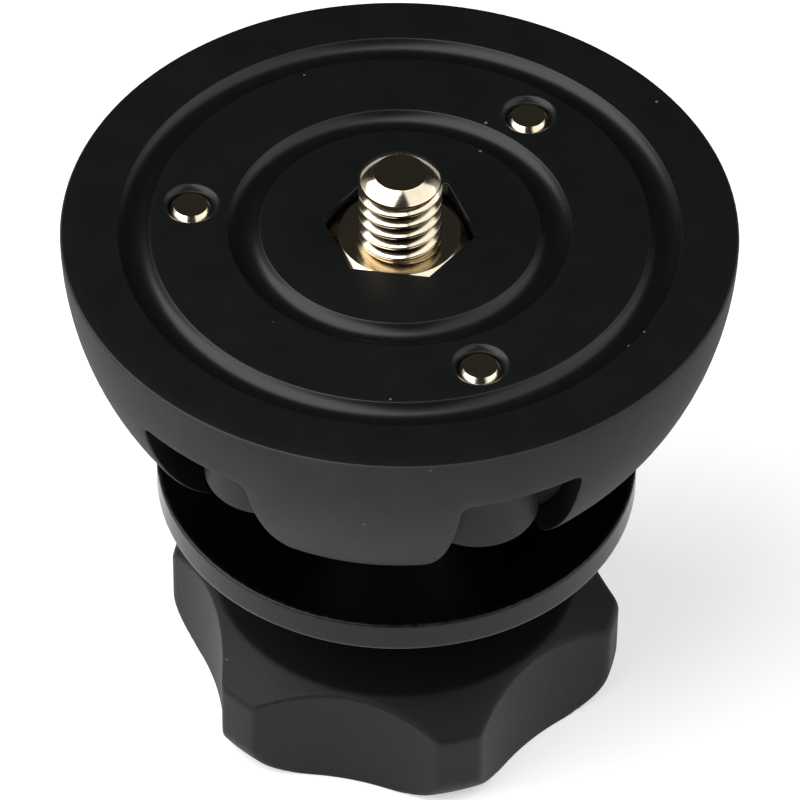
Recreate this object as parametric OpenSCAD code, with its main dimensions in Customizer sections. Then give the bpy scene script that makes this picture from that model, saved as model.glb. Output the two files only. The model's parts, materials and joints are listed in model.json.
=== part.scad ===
// Half ball leveling adapter: a hemisphere that sits in a tripod's bowl, with a camera stud on its
// flat face and a lobed knob below that pulls a clamp disc up against the bowl.
// The origin is the centre of the ball, which is the centre of the flat face. +Z points out of the
// face, along the stud. All lengths are in millimetres.

/* [Half ball] */
// Radius of the ball, half of the bowl's 75 mm
ball_r = 37.5; // [36:0.5:50]
// Chamfer where the ball meets the flat face
rim_break = 0.25; // [0.1:0.05:1]
// Thickness of the top plate, down to the tops of the windows
plate_t = 7.7; // [7:0.1:10]
// Wall thickness of the legs
shell_t = 3.2; // [3:0.1:6]
// Depth of the legs' ends below the flat face
leg_depth = 27; // [24:0.5:30]
// Width of each window between two legs
window_w = 14.1; // [12:0.1:15]
// Radius of each window's upper corners
window_corner_r = 1.2; // [0.5:0.1:3]

/* [Bosses and locking screws] */
// Radius of the circle that the locking screws and bosses stand on
screw_circle_r = 23.4; // [22.5:0.1:24]
// Gap between a boss and the window's sides
boss_gap = 0.15; // [0.1:0.05:1]
// Depth of a screw boss below the flat face
boss_depth = 21.5; // [18:0.5:23]
// Depth of a plain boss below the flat face
plain_boss_depth = 20; // [16:0.5:23]
// Thread diameter of a locking screw
lock_d = 5; // [4:0.5:6]
// Length of a locking screw
lock_l = 12; // [8:0.5:16]
// Diameter of the flat point of a locking screw
lock_point_d = 3.9; // [2:0.1:4]
// Depth of the point below the flat face
lock_sink = 0.2; // [0:0.05:1]
// Width across flats of the key socket in a locking screw
lock_key_af = 2.5; // [2:0.1:2.6]
// Depth of the key socket
lock_key_depth = 3; // [2:0.5:5]
// Chamfer at the mouth of a locking screw's hole
mouth_break = 0.65; // [0.3:0.05:1]

/* [Grooves] */
// Radius of the inner groove's middle
groove_inner_r = 17.25; // [15:0.05:17.5]
// Radius of the outer groove's middle
groove_outer_r = 29.4; // [29.3:0.05:32]
// Width of a groove at the flat face
groove_w = 3.8; // [2:0.1:4.2]
// Depth of a groove
groove_depth = 1.0; // [0.5:0.1:1.5]

/* [Centre stud] */
// Thread diameter of the camera stud, 3/8 inch
stud_d = 9.525; // [6.35:0.005:9.6]
// Height of the stud above the flat face
stud_h = 8; // [6:0.5:14]
// Diameter of the flat on the stud's end
stud_end_d = 5.9; // [4:0.1:6.2]
// Length of the chamfer on the stud's end
stud_end_l = 1.2; // [0.6:0.1:3]
// Width across flats of the hex collar
collar_af = 14.3; // [12:0.1:16]
// Thickness of the hex collar
collar_t = 3.9; // [3:0.1:4.8]
// Depth of the collar's top below the flat face
collar_sink = 1.3; // [0:0.05:2]
// Diameter of the collar's flat top, inside its chamfer
collar_face_d = 12.6; // [11:0.1:14]
// Gap between the collar's flats and its recess
collar_gap = 0.15; // [0.05:0.05:0.5]
// Chamfer angle of the collar's and the nut's corners
collar_chamfer = 30; // [20:1:45]
// Thread diameter of the rod
rod_d = 10; // [8:0.5:10.5]
// Gap between the rod and its hole in the plate
rod_gap = 0.15; // [0.05:0.05:0.5]

/* [Stud nut] */
// Outer diameter of the washer under the plate
stud_washer_d = 20; // [18:0.5:26]
// Thickness of the washer under the plate
stud_washer_t = 1.5; // [1:0.1:2.5]
// Width across flats of the thin nut
nut_af = 16; // [15:0.5:17]
// Height of the thin nut
nut_h = 5; // [4:0.1:8]

/* [Clamp disc] */
// Radius of the clamp disc
disc_r = 27.5; // [24:0.5:32]
// Thickness of the clamp disc
disc_t = 3.8; // [3:0.1:6]
// Gap between the legs' ends and the disc, where the bowl goes
bowl_gap = 8.4; // [6:0.1:14]
// Chamfer of the disc's edges
disc_break = 0.3; // [0.1:0.05:1]
// Wall of the sleeve in the disc
bush_wall = 2; // [1.5:0.1:3]
// Thickness of the slip washer under the disc
thrust_t = 1; // [0.6:0.1:2]
// Width of the slip washer's ring
thrust_w = 3.4; // [2:0.1:3.7]

/* [Knob insert] */
// Wall of the insert's spigot round the rod
spigot_wall = 1.95; // [1.5:0.05:2.5]
// Height of the spigot's end above the retaining ring
spigot_end_h = 1.1; // [0.8:0.1:2]
// Step of the insert's body outside the spigot
insert_step = 1; // [0.5:0.1:1.6]
// Length of the insert's body in the neck
insert_l = 8.5; // [5:0.1:10]
// Depth of the ring groove in the spigot
ring_groove_depth = 0.5; // [0.3:0.05:0.8]
// Width of the retaining ring's band
ring_w = 2.6; // [1.8:0.1:3]
// Thickness of the retaining ring
ring_t = 1; // [0.8:0.1:1.5]
// Opening of the retaining ring
ring_opening = 6; // [3:0.5:8]

/* [Knob] */
// Number of lobes
lobes = 6; // [5:1:8]
// Radius of the knob over its lobes
knob_r = 26.4; // [25:0.1:30]
// Distance from the axis to the middle of a finger scoop
scoop_in_r = 22; // [20:0.1:24]
// Radius of the finger scoops
scoop_r = 30; // [22:1:60]
// Height of the lobed grip
knob_h = 14.4; // [12:0.1:18]
// Radius of the grip's flat top
knob_top_r = 21.2; // [18:0.1:24]
// Height of the slope round the top
knob_slope_h = 2.9; // [2:0.1:5]
// Radius of the lobes' rounded lower ends
knob_foot_r = 4.7; // [4.6:0.1:6]
// Height of the lobes' rounded lower ends
knob_foot_h = 4.55; // [2:0.05:4.6]
// Outer diameter of the neck
neck_d = 22; // [21:0.5:26]
// Flare where the neck meets the grip
neck_flare = 1; // [0.5:0.1:3]
// Angle that the knob stands turned by
knob_turn = -5.3; // [-30:0.05:30]

/* [Knob stop and cap] */
// How far the knob can be screwed up from where it stands
travel_up = 8; // [6:0.1:8]
// How far the knob can be screwed down from where it stands
travel_down = 4.4; // [3:0.1:8]
// Outer diameter of the stop washer
stop_washer_d = 14.8; // [12:0.1:15]
// Thickness of the stop washer
stop_washer_t = 1.5; // [1:0.1:2]
// Thread diameter of the stop screw
stop_screw_d = 5; // [4:0.5:6]
// Head diameter of the stop screw
stop_head_d = 9; // [8:0.1:10]
// Head height of the stop screw
stop_head_h = 2; // [1.5:0.1:3]
// Width across flats of the key socket in the stop screw
stop_key_af = 3; // [2:0.1:3.5]
// Depth of the key socket in the stop screw
stop_key_depth = 1.2; // [0.6:0.1:1.4]
// Length of the stop screw's thread in the rod
stop_screw_l = 9.5; // [6:0.5:14]
// Gap between the stop washer and the knob's hollow
hollow_gap = 1; // [0.5:0.1:1.2]
// Ledge that carries the cap round the knob's hollow
cap_ledge = 2.6; // [1.5:0.1:4]
// Thickness of the cap
cap_t = 2; // [1.2:0.1:2.5]
// Depth of the cap's outside above the knob's foot
cap_sink = 0.8; // [0.2:0.1:1]

/* [Clearances] */
// Running gap of turning and sliding fits, on the radius
run_gap = 0.05; // [0.02:0.01:0.1]
// Gap between faces that slip on each other
slip_gap = 0.05; // [0.02:0.01:0.1]
// Gap of pieces that are pressed together, on the radius
press_gap = 0.02; // [0.01:0.01:0.04]
// Spare room under the insert at the lower end of the knob's travel
stop_room = 0.1; // [0.05:0.05:0.3]
// Spare room above the cap at the upper end of the knob's travel
cap_room = 0.5; // [0.2:0.1:1]
// Gap between the stop screw's end and the bottom of its hole
stop_end_gap = 1; // [0.5:0.1:2]

/* [Hidden] */
$fn = 128;
OVER = 1;
LOBE_STEP = 360 / lobes;
HEX_RATIO = 1 / cos(30);
BOSSES = 6;
FOOT_STEPS = 8;
SCREW_ANGLES = [60, 180, 300];

// Half ball
hollow_r = ball_r - shell_t;
boss_r = window_w / 2 - boss_gap;
recess_depth = collar_sink + collar_t;
lock_bore_r = lock_d / 2 + run_gap;
groove_half = groove_w / 2;
groove_r = (pow(groove_half, 2) + pow(groove_depth, 2)) / (2 * groove_depth);

// Heights of the clamp stack, from the disc down to the knob's foot
disc_top = -leg_depth - bowl_gap;
disc_foot = disc_top - disc_t;
thrust_top = disc_foot - slip_gap;
thrust_foot = thrust_top - thrust_t;
neck_top = thrust_foot - slip_gap;
ring_foot = disc_top + slip_gap;
ring_top = ring_foot + ring_t;
spigot_top = ring_top + spigot_end_h;
insert_foot = neck_top - insert_l;
rod_foot = insert_foot - travel_down - stop_room;
stop_washer_foot = rod_foot - stop_washer_t;
stop_head_foot = stop_washer_foot - stop_head_h;
cap_top = stop_head_foot - travel_up - cap_room;
cap_foot = cap_top - cap_t;
knob_foot = cap_foot - cap_sink;
knob_top = knob_foot + knob_h;

// Radii of the clamp stack, from the rod outwards
rod_r = rod_d / 2;
insert_bore_r = rod_r + run_gap;
spigot_r = insert_bore_r + spigot_wall;
insert_r = spigot_r + insert_step;
bush_bore_r = spigot_r + run_gap;
bush_r = bush_bore_r + bush_wall;
ring_groove_r = spigot_r - ring_groove_depth;
neck_r = neck_d / 2;
knob_hollow_r = stop_washer_d / 2 + hollow_gap;
cap_r = knob_hollow_r + cap_ledge;

// A flat ring between two heights
module ring(outer_r, inner_r, foot, top) {
    translate([0, 0, foot])
        difference() {
            cylinder(h = top - foot, r = outer_r);
            translate([0, 0, -OVER])
                cylinder(h = top - foot + 2 * OVER, r = inner_r);
        }
}

// A hexagonal bar of a given width across flats, with corners on the X axis
module hex_bar(across_flats, height) {
    cylinder(h = height, d = across_flats * HEX_RATIO, $fn = 6);
}

// The ball below the flat face, with its rim broken and its legs cut off square
module ball_blank() {
    intersection() {
        sphere(ball_r);
        translate([0, 0, -leg_depth])
            cylinder(h = leg_depth, r1 = ball_r - rim_break + leg_depth, r2 = ball_r - rim_break);
    }
}

// The hollow under the top plate
module ball_hollow() {
    intersection() {
        sphere(hollow_r);
        translate([0, 0, -plate_t - ball_r])
            cylinder(h = ball_r, r = ball_r);
    }
}

// One window, cut outwards along X, with round upper corners
module window() {
    side = window_w / 2;
    corner = [side - window_corner_r, -window_corner_r];
    arc = [for (a = [0:15:90]) corner + window_corner_r * [cos(a), sin(a)]];
    mirrored = [for (i = [len(arc) - 1:-1:0]) [-arc[i].x, arc[i].y]];
    outline = concat([[side, -ball_r]], arc, mirrored, [[-side, -ball_r]]);
    translate([0, 0, -plate_t])
        rotate([90, 0, 90])
            linear_extrude(ball_r + OVER)
                polygon(outline);
}

// One boss that hangs from the plate inside a window
module boss(depth) {
    translate([screw_circle_r, 0, -depth])
        cylinder(h = depth - plate_t + OVER, r = boss_r);
}

// The threaded hole of one locking screw, with a chamfered mouth
module lock_hole() {
    translate([screw_circle_r, 0, 0]) {
        translate([0, 0, -boss_depth - OVER])
            cylinder(h = boss_depth + 2 * OVER, r = lock_bore_r);
        translate([0, 0, -mouth_break])
            cylinder(h = mouth_break + OVER, r1 = lock_bore_r, r2 = lock_bore_r + mouth_break + OVER);
    }
}

// One round groove in the flat face
module face_groove(middle_r) {
    translate([0, 0, groove_r - groove_depth])
        rotate_extrude()
            translate([middle_r, 0])
                circle(groove_r);
}

module half_ball() {
    color("#1c1e1e")
        difference() {
            union() {
                difference() {
                    ball_blank();
                    ball_hollow();
                    for (i = [0:BOSSES - 1])
                        rotate(i * 360 / BOSSES)
                            window();
                }
                for (a = SCREW_ANGLES) {
                    rotate(a)
                        boss(boss_depth);
                    rotate(a - 180 / len(SCREW_ANGLES))
                        boss(plain_boss_depth);
                }
            }
            for (a = SCREW_ANGLES)
                rotate(a)
                    lock_hole();
            face_groove(groove_inner_r);
            face_groove(groove_outer_r);
            translate([0, 0, -recess_depth])
                hex_bar(collar_af + 2 * collar_gap, recess_depth + OVER);
            translate([0, 0, -plate_t - OVER])
                cylinder(h = plate_t + OVER, r = rod_r + rod_gap);
        }
}

// A hexagonal bar with its upper corners turned off to a cone
module turned_hex(across_flats, height, face_d) {
    circle_r = face_d / 2;
    intersection() {
        hex_bar(across_flats, height);
        cylinder(h = height, r1 = circle_r + height / tan(collar_chamfer), r2 = circle_r);
    }
}

// The camera stud above the collar, with its chamfered end
module stud_end() {
    stud_r = stud_d / 2;
    rotate_extrude()
        polygon([[0, -recess_depth], [stud_r, -recess_depth], [stud_r, stud_h - stud_end_l],
                 [stud_end_d / 2, stud_h], [0, stud_h]]);
}

module centre_stud() {
    color("#c9c3b4")
        difference() {
            union() {
                translate([0, 0, -recess_depth])
                    turned_hex(collar_af, collar_t, collar_face_d);
                stud_end();
                translate([0, 0, rod_foot])
                    cylinder(h = -recess_depth - rod_foot + OVER, r = rod_r);
            }
            translate([0, 0, rod_foot - OVER])
                cylinder(h = stop_screw_l + OVER, r = stop_screw_d / 2 + press_gap);
        }
}

module stud_washer() {
    color("#a9a9a6")
        ring(stud_washer_d / 2, rod_r + rod_gap, -plate_t - stud_washer_t, -plate_t);
}

module stud_nut() {
    nut_top = -plate_t - stud_washer_t;
    color("#a9a9a6")
        translate([0, 0, nut_top - nut_h])
            difference() {
                intersection() {
                    turned_hex(nut_af, nut_h, nut_af);
                    translate([0, 0, nut_h])
                        mirror([0, 0, 1])
                            turned_hex(nut_af, nut_h, nut_af);
                }
                translate([0, 0, -OVER])
                    cylinder(h = nut_h + 2 * OVER, r = rod_r + press_gap);
            }
}

// A set screw with a flat point above and a key socket below
module locking_screw(angle) {
    point_h = (lock_d - lock_point_d) / 2;
    color("#c9c3b4")
        rotate(angle)
            translate([screw_circle_r, 0, -lock_sink - lock_l])
                difference() {
                    union() {
                        cylinder(h = lock_l - point_h, d = lock_d);
                        translate([0, 0, lock_l - point_h])
                            cylinder(h = point_h, d1 = lock_d, d2 = lock_point_d);
                    }
                    translate([0, 0, -OVER])
                        hex_bar(lock_key_af, lock_key_depth + OVER);
                }
}

module clamp_disc() {
    bore_r = bush_r + press_gap;
    color("#232526")
        rotate_extrude()
            polygon([[bore_r, disc_foot], [disc_r - disc_break, disc_foot], [disc_r, disc_foot + disc_break],
                     [disc_r, disc_top - disc_break], [disc_r - disc_break, disc_top], [bore_r, disc_top]]);
}

module disc_bush() {
    color("#e4e0d4")
        ring(bush_r, bush_bore_r, disc_foot, disc_top);
}

module thrust_washer() {
    color("#e4e0d4")
        ring(bush_bore_r + thrust_w, bush_bore_r, thrust_foot, thrust_top);
}

// A spring clip, open on one side, that snaps into the spigot's groove
module retaining_ring() {
    inner_r = ring_groove_r + press_gap;
    color("#8d8d8a")
        rotate(knob_turn)
            difference() {
                ring(inner_r + ring_w, inner_r, ring_foot, ring_top);
                translate([0, -ring_opening / 2, ring_foot - OVER])
                    cube([spigot_r + ring_w + OVER, ring_opening, ring_t + 2 * OVER]);
            }
}

// The threaded insert: a body held in the neck and a spigot that carries the disc
module knob_insert() {
    color("#b08d4a")
        rotate_extrude()
            polygon([[insert_bore_r, insert_foot], [insert_r, insert_foot], [insert_r, neck_top],
                     [spigot_r, neck_top], [spigot_r, ring_foot], [ring_groove_r, ring_foot],
                     [ring_groove_r, ring_top + slip_gap], [spigot_r, ring_top + slip_gap],
                     [spigot_r, spigot_top], [insert_bore_r, spigot_top]]);
}

// The knob's turned outline: neck, flat top, slope, lobe wall and rounded lower end
module knob_blank() {
    slope_foot = knob_top - knob_slope_h;
    sweep = asin(knob_foot_h / knob_foot_r);
    foot_arc = [for (i = [0:FOOT_STEPS])
                    [knob_r - knob_foot_r, knob_foot + knob_foot_h]
                    + knob_foot_r * [cos(sweep * i / FOOT_STEPS), -sin(sweep * i / FOOT_STEPS)]];
    rotate_extrude()
        polygon(concat([[0, neck_top], [neck_r, neck_top], [neck_r, knob_top + neck_flare],
                        [neck_r + neck_flare, knob_top], [knob_top_r, knob_top], [knob_r, slope_foot]],
                       foot_arc, [[0, knob_foot]]));
}

// The finger scoop between two lobes, cut along X
module finger_scoop() {
    translate([scoop_in_r + scoop_r, 0, knob_foot - OVER])
        cylinder(h = knob_h + 2 * OVER, r = scoop_r);
}

module knob_body() {
    color("#26272a")
        rotate(knob_turn)
            difference() {
                knob_blank();
                for (i = [0:lobes - 1])
                    rotate((i + 0.5) * LOBE_STEP)
                        finger_scoop();
                translate([0, 0, insert_foot])
                    cylinder(h = insert_l + OVER, r = insert_r + press_gap);
                translate([0, 0, cap_top])
                    cylinder(h = insert_foot - cap_top, r = knob_hollow_r);
                translate([0, 0, knob_foot - OVER])
                    cylinder(h = cap_top - knob_foot + OVER, r = cap_r + press_gap);
            }
}

module knob_cap() {
    color("#1b1c1e")
        translate([0, 0, cap_foot])
            cylinder(h = cap_t, r = cap_r);
}

module stop_washer() {
    color("#a9a9a6")
        ring(stop_washer_d / 2, stop_screw_d / 2 + run_gap, stop_washer_foot, rod_foot);
}

// A low-headed screw with a key socket, which holds the stop washer on the rod
module stop_screw() {
    color("#a9a9a6")
        difference() {
            union() {
                translate([0, 0, stop_head_foot])
                    cylinder(h = stop_head_h, d = stop_head_d);
                translate([0, 0, stop_head_foot + stop_key_depth])
                    cylinder(h = rod_foot + stop_screw_l - stop_end_gap - stop_head_foot - stop_key_depth,
                             d = stop_screw_d);
            }
            translate([0, 0, stop_head_foot - OVER])
                hex_bar(stop_key_af, stop_key_depth + OVER);
        }
}

half_ball();
centre_stud();
stud_washer();
stud_nut();
for (i = [0:len(SCREW_ANGLES) - 1])
    locking_screw(SCREW_ANGLES[i]);
clamp_disc();
disc_bush();
thrust_washer();
retaining_ring();
knob_insert();
knob_body();
knob_cap();
stop_washer();
stop_screw();
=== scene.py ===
# %% [markdown]
# Half ball leveling adapter, a lesson in cells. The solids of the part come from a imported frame, and
# every cell below dresses one piece of it. All shapes are drawn in millimetres and scaled to metres at
# the end, because small numbers like 0.0035 are hard to read and easy to get wrong.

# %% Load the frame
import json
from math import acos, asin, atan2, ceil, copysign, cos, degrees, hypot, pi, radians, sin, sqrt, tan

import bmesh
import bpy
from mathutils import Matrix, Vector

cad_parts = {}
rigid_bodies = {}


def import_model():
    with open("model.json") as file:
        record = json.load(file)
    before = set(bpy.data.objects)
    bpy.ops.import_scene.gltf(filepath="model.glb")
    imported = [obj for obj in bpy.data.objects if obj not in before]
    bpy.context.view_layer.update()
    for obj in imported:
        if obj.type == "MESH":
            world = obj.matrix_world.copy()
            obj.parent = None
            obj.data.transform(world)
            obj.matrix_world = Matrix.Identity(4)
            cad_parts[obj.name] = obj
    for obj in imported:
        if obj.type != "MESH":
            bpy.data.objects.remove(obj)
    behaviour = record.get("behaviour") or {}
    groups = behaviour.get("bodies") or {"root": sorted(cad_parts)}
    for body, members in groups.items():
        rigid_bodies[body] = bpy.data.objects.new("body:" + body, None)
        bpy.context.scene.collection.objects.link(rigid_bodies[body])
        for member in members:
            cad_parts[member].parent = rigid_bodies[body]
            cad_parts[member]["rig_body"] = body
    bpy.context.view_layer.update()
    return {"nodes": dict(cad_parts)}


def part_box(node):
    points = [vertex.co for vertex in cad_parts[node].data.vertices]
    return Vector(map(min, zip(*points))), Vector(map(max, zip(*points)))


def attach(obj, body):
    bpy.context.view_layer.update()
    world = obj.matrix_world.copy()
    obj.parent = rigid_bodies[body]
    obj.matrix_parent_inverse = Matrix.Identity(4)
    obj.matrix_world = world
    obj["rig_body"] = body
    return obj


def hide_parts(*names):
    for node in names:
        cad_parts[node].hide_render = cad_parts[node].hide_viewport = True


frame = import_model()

MM = 0.001
SCENE = bpy.context.scene


def span(node):
    """Lowest and highest corner of a solid, in millimetres."""
    low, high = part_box(node)
    return low / MM, high / MM


print("solids in the frame:", len(frame["nodes"]))

# %% [markdown]
# The camera stands where the photograph was taken: above the flat face, far away with a long lens, so
# the circles stay nearly true ellipses. A tracking constraint could aim it. Here the three axes are
# written out instead, because the picture is also rolled by a fraction of a degree.

# %% Camera
AZIMUTH = radians(7.65)
ELEVATION = radians(44.93)
ROLL = radians(0.805)
DISTANCE = 690.44
AIM = Vector((0.30, 0.04, -27.18))
FOCAL_LENGTH = 273.69
SENSOR_WIDTH = 36
FAR_LIMIT = 20

back = Vector((sin(AZIMUTH) * cos(ELEVATION), -cos(AZIMUTH) * cos(ELEVATION), sin(ELEVATION)))
level = Vector((cos(AZIMUTH), sin(AZIMUTH), 0))
upright = back.cross(level)
right = level * cos(ROLL) + upright * sin(ROLL)
up = upright * cos(ROLL) - level * sin(ROLL)
axes = Matrix((right, up, back)).transposed().to_4x4()

camera = bpy.data.objects.new("camera", bpy.data.cameras.new("camera"))
camera.data.lens = FOCAL_LENGTH
camera.data.sensor_width = SENSOR_WIDTH
camera.data.clip_end = FAR_LIMIT
camera.matrix_world = Matrix.Translation((AIM + back * DISTANCE) * MM) @ axes
SCENE.collection.objects.link(camera)
SCENE.camera = camera
SCENE.view_settings.view_transform = "Standard"
print("camera at", [round(c, 3) for c in camera.location])

# %% [markdown]
# Node trees are easier to read when one line makes a node and fills its sockets. This helper takes the
# sockets by name: a value is typed in, and a socket of another node is linked.

# %% Helpers for nodes
def add_node(tree, kind, sockets=None, **settings):
    """Adds a shader node, sets its properties and fills its input sockets by name or number."""
    node = tree.nodes.new("ShaderNode" + kind)
    for name, value in settings.items():
        setattr(node, name, value)
    for key, value in (sockets or {}).items():
        if isinstance(value, bpy.types.NodeSocket):
            tree.links.new(value, node.inputs[key])
        else:
            node.inputs[key].default_value = value
    return node


def maths(tree, operation, first, second=0.0, **settings):
    """The value of a sum, product or comparison."""
    return add_node(tree, "Math", {0: first, 1: second}, operation=operation, **settings).outputs[0]


def mix_colours(tree, mask, first, second):
    """Goes from the first colour to the second as the mask goes from 0 to 1."""
    return add_node(tree, "Mix", {"Factor": mask, "A": first, "B": second}, data_type="RGBA").outputs[2]


def stretch(tree, value, low, high, out_low, out_high):
    """Maps one range of values onto another, and clamps the ends."""
    sockets = {"Value": value, "From Min": low, "From Max": high, "To Min": out_low, "To Max": out_high}
    return add_node(tree, "MapRange", sockets).outputs[0]


print("node helpers ready")

# %% [markdown]
# The room behind the table is dim, so the flat face, which mirrors it, stays nearly black. White screens
# stand low on the left and right, and the grooves' walls show them. A world texture is used, because planes
# could get in the way of another view's camera.

# %% Backdrop
ROOM_DIM = (0.026, 0.025, 0.023, 1)
WHITE = (1, 1, 1, 1)
BACKDROP_TOP = 0.36
BACKDROP_FADE = 0.56
BACKDROP_SIDES = (0.70, 0.95)

world = bpy.data.worlds.new("studio")
world.use_nodes = True
SCENE.world = world
tree = world.node_tree
tree.nodes.clear()
direction = add_node(tree, "TexCoord").outputs["Generated"]
height = add_node(tree, "SeparateXYZ", {0: direction}).outputs["Z"]
sideways = add_node(tree, "VectorMath", {0: direction, 1: level}, operation="DOT_PRODUCT").outputs["Value"]
low_part = stretch(tree, height, BACKDROP_TOP, BACKDROP_FADE, 1, 0)
side_part = stretch(tree, maths(tree, "ABSOLUTE", sideways), *BACKDROP_SIDES, 0, 1)
white_part = maths(tree, "MULTIPLY", low_part, side_part)
room = add_node(tree, "Background", {"Color": mix_colours(tree, white_part, ROOM_DIM, WHITE)})
add_node(tree, "OutputWorld", {"Surface": room.outputs[0]})
print("backdrop:", world.name)

# %% [markdown]
# The table is a large white disc. Camera and mirror rays see a glow on it that makes it pure white, and the
# object's shadow stays. More light would bleach the object. From below the table is clear, so that a view
# from there shows the underside.

# %% Table
FLOOR_Z = span("knob_body")[0].z
FLOOR_R = 6000
FLOOR_SIDES = 96
TABLE_WHITE = 0.74
TABLE_LIFT = 0.50

table_finish = bpy.data.materials.new("table_white")
table_finish.use_nodes = True
tree = table_finish.node_tree
tree.nodes.clear()
matte = add_node(tree, "BsdfDiffuse", {"Color": (TABLE_WHITE, TABLE_WHITE, TABLE_WHITE, 1)}).outputs[0]
lift = add_node(tree, "Emission", {"Strength": TABLE_LIFT}).outputs[0]
path = add_node(tree, "LightPath").outputs
seen = maths(tree, "MAXIMUM", path["Is Camera Ray"], path["Is Glossy Ray"])
seen = maths(tree, "MAXIMUM", seen, path["Is Transmission Ray"])
bright = add_node(tree, "AddShader", {0: matte, 1: lift}).outputs[0]
top_side = add_node(tree, "MixShader", {0: seen, 1: matte, 2: bright}).outputs[0]
under = add_node(tree, "BsdfTransparent").outputs[0]
backfacing = add_node(tree, "NewGeometry").outputs["Backfacing"]
surface = add_node(tree, "MixShader", {0: backfacing, 1: top_side, 2: under})
add_node(tree, "OutputMaterial", {"Surface": surface.outputs[0]})

bm = bmesh.new()
bmesh.ops.create_circle(bm, cap_ends=True, segments=FLOOR_SIDES, radius=FLOOR_R * MM)
bmesh.ops.translate(bm, verts=bm.verts, vec=(0, 0, FLOOR_Z * MM))
table = bpy.data.objects.new("table", bpy.data.meshes.new("table"))
bm.to_mesh(table.data)
bm.free()
table.data.materials.append(table_finish)
SCENE.collection.objects.link(table)
print("table at", round(FLOOR_Z, 2), "mm")

# %% [markdown]
# Two large softboxes lean together like a tent, with a slit above the lens. Bare metal shows that: each
# turned edge has two white patches and a dark line between them. Area lights give the soft edge of real
# softboxes, and a hinge, in metres, lets one angle open or shut the tent.

# %% Softboxes
BOX_HINGE = {"left": Vector((-0.04, -0.285, 0.62)), "right": Vector((0.155, -0.285, 0.62))}
BOX_WIDTH = 0.72
BOX_LENGTH = 0.72
BOX_FORWARD = -0.06
BOX_LEAN = radians(34.3)
BOX_SPLAY = radians(28)
BOX_POWER = {"left": 6.2, "right": 2.5}

for name, side in (("left", -1), ("right", 1)):
    light = bpy.data.lights.new("softbox_" + name, "AREA")
    light.shape = "RECTANGLE"
    light.size = BOX_WIDTH
    light.size_y = BOX_LENGTH
    light.energy = BOX_POWER[name]
    box = bpy.data.objects.new("softbox_" + name, light)
    box.matrix_world = (Matrix.Rotation(AZIMUTH, 4, "Z") @ Matrix.Translation(BOX_HINGE[name])
                        @ Matrix.Rotation(side * BOX_SPLAY, 4, "Z") @ Matrix.Rotation(side * BOX_LEAN, 4, "Y")
                        @ Matrix.Translation((side * BOX_WIDTH / 2, BOX_FORWARD, 0)))
    box.visible_camera = False
    SCENE.collection.objects.link(box)
    print("softbox", name, light.energy, "W")

# %% [markdown]
# The effects are node groups. The same nodes could be copied into every material, but a group is built
# once, and each material only sets its few inputs.

# %% Helpers for shared effects
NOISE_ROUGH = 0.6


def effect(name, inputs, outputs):
    """Starts a node group with named number inputs and outputs, and gives its tree and its two ends."""
    group = bpy.data.node_groups.new(name, "ShaderNodeTree")
    for socket, value in inputs.items():
        group.interface.new_socket(socket, in_out="INPUT", socket_type="NodeSocketFloat").default_value = value
    for socket in outputs:
        group.interface.new_socket(socket, in_out="OUTPUT", socket_type="NodeSocketFloat")
    return group, group.nodes.new("NodeGroupInput").outputs, group.nodes.new("NodeGroupOutput").inputs


def place_on(tree):
    """Where on its piece a point lies."""
    return add_node(tree, "TexCoord").outputs["Object"]


def attribute(tree, name):
    """A number that the mesh carries on its points."""
    return add_node(tree, "Attribute", attribute_name=name).outputs["Fac"]


def noise(tree, scale, detail):
    """A noise texture's value."""
    sockets = {"Vector": place_on(tree), "Scale": scale, "Detail": detail, "Roughness": NOISE_ROUGH}
    return add_node(tree, "TexNoise", sockets).outputs[0]


def axis_distance(tree):
    """Distance of a point from the Z axis."""
    flat = add_node(tree, "VectorMath", {0: place_on(tree), 1: (1, 1, 0)}, operation="MULTIPLY").outputs[0]
    return add_node(tree, "VectorMath", {0: flat}, operation="LENGTH").outputs["Value"]


print("effect helpers ready")

# %% [markdown]
# Grain is the fine tooth of a paint or a moulded skin, and the clouds in its shade. Dust is a few pale
# specks, each in a cell of space that was chosen by lot. Both could be pictures, but noise has no seams and
# needs no unwrapping.

# %% Grain and dust
NOISE_SPAN = (0.3, 0.7)

grain, start, end = effect("grain", {"Tooth Scale": 4000, "Cloud Scale": 120}, ("Tooth", "Cloud"))
grain.links.new(noise(grain, start["Tooth Scale"], 3), end["Tooth"])
cloud = noise(grain, start["Cloud Scale"], 4)
grain.links.new(stretch(grain, cloud, *NOISE_SPAN, 0, 1), end["Cloud"])

dust, start, end = effect("dust", {"Scale": 700, "Share": 0.01, "Size": 0.12}, ("Specks",))
cells = add_node(dust, "TexVoronoi", {"Vector": place_on(dust), "Scale": start["Scale"]}).outputs
lot = add_node(dust, "SeparateColor", {0: cells["Color"]}).outputs[0]
chosen = maths(dust, "LESS_THAN", lot, start["Share"])
near = maths(dust, "LESS_THAN", cells["Distance"], start["Size"])
dust.links.new(maths(dust, "MULTIPLY", chosen, near), end["Specks"])
print("effects:", grain.name, dust.name)

# %% [markdown]
# Hands wear paint thin on the edges. Inner corners such as a thread's roots are darkened, partly as oil and partly as
# painted shade. The meshes carry an attribute that is above 0 on the first and below 0 in the second. Cycles could
# find edges by itself, but what it finds depends on how fine the mesh is.

# %% Worn edges, and oil with painted shade
PATCH_SPAN = (0.4, 0.65)
PATCH_LEAST = 0.25

worn_edge, start, end = effect("worn_edge", {"Break Up": 900, "Amount": 0.5}, ("Wear",))
patchy = stretch(worn_edge, noise(worn_edge, start["Break Up"], 3), *PATCH_SPAN, PATCH_LEAST, 1)
wear = maths(worn_edge, "MULTIPLY", attribute(worn_edge, "edge"), patchy)
worn_edge.links.new(maths(worn_edge, "MULTIPLY", wear, start["Amount"], use_clamp=True), end["Wear"])

# Oil and painted shade: inner corners, below 0 on the edge mark, are darkened.
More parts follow.
